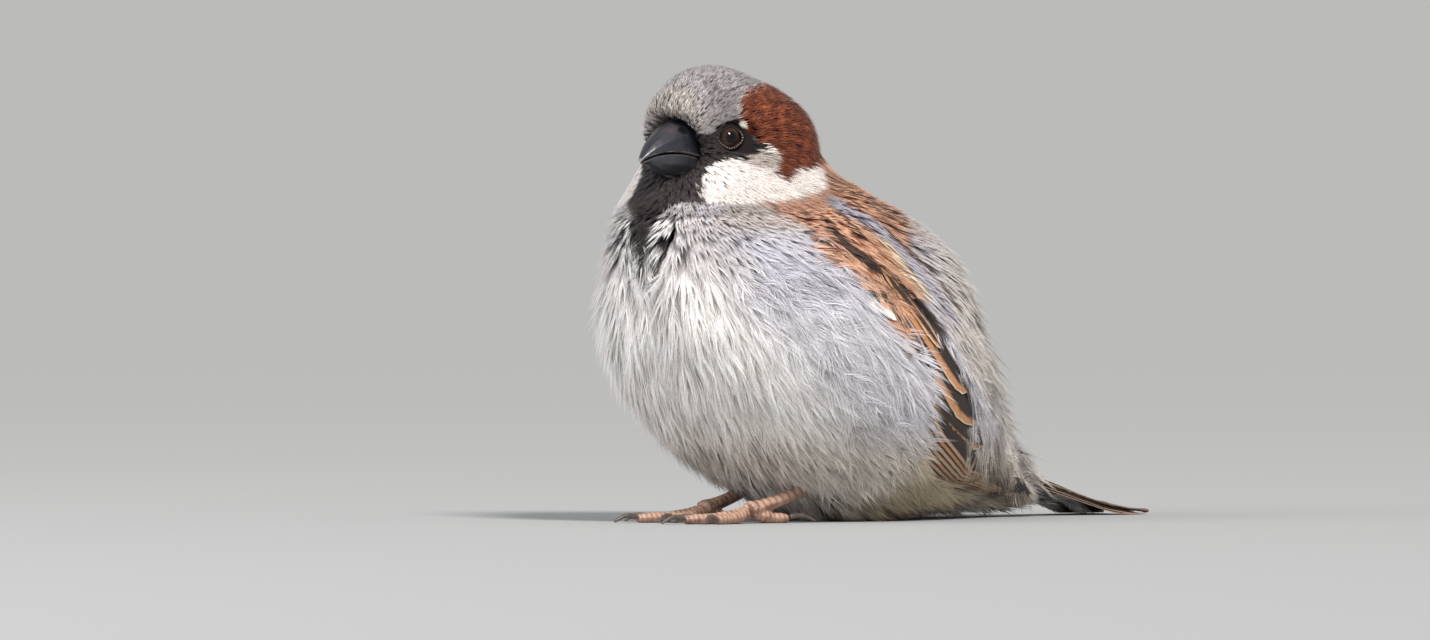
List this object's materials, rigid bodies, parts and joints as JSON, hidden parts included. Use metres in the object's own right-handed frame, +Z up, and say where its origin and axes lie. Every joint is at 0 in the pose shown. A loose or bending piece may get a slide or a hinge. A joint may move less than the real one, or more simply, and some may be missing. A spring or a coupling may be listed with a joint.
{
  "type": "house sparrow, male, standing",
  "caption": "Small stout-billed brown, grey and white songbird, fluffed up and standing still with folded wings, its tail laid on the floor.",
  "frame": {"origin": "middle of the footprint box, on the floor", "axes": "+Z up, the bird faces -Y with its head turned a little to its left, its left side is +X, and the tail lies along +Y"},
  "size_m": [0.0632, 0.1276, 0.0811],
  "materials": {
    "head_plumage": "short soft feathers, matte",
    "body_plumage": "long loose feathers, matte",
    "wing_plumage": "firm vanes, low sheen",
    "tail_plumage": "firm vanes, low sheen",
    "bill_horn": "smooth horn, semi-gloss",
    "eye": "wet, clear gloss",
    "leg_scales": "scaly skin, satin",
    "claw_horn": "horn, satin"
  },
  "bodies": {
    "root": {"head": "head_plumage", "neck": "body_plumage", "trunk": "body_plumage", "rump": "body_plumage", "bill_upper": "bill_horn", "bill_lower": "bill_horn", "tail": "tail_plumage", "eye_left": "eye", "wing_left_coverts": "wing_plumage", "wing_left_flight": "wing_plumage", "tarsus_left": "leg_scales", "toe_left_inner": "leg_scales", "claw_left_inner": "claw_horn", "toe_left_middle": "leg_scales", "claw_left_middle": "claw_horn", "toe_left_outer": "leg_scales", "claw_left_outer": "claw_horn", "toe_left_hind": "leg_scales", "claw_left_hind": "claw_horn", "eye_right": "eye", "wing_right_coverts": "wing_plumage", "wing_right_flight": "wing_plumage", "tarsus_right": "leg_scales", "toe_right_inner": "leg_scales", "claw_right_inner": "claw_horn", "toe_right_middle": "leg_scales", "claw_right_middle": "claw_horn", "toe_right_outer": "leg_scales", "claw_right_outer": "claw_horn", "toe_right_hind": "leg_scales", "claw_right_hind": "claw_horn"}
  },
  "joints": []
}
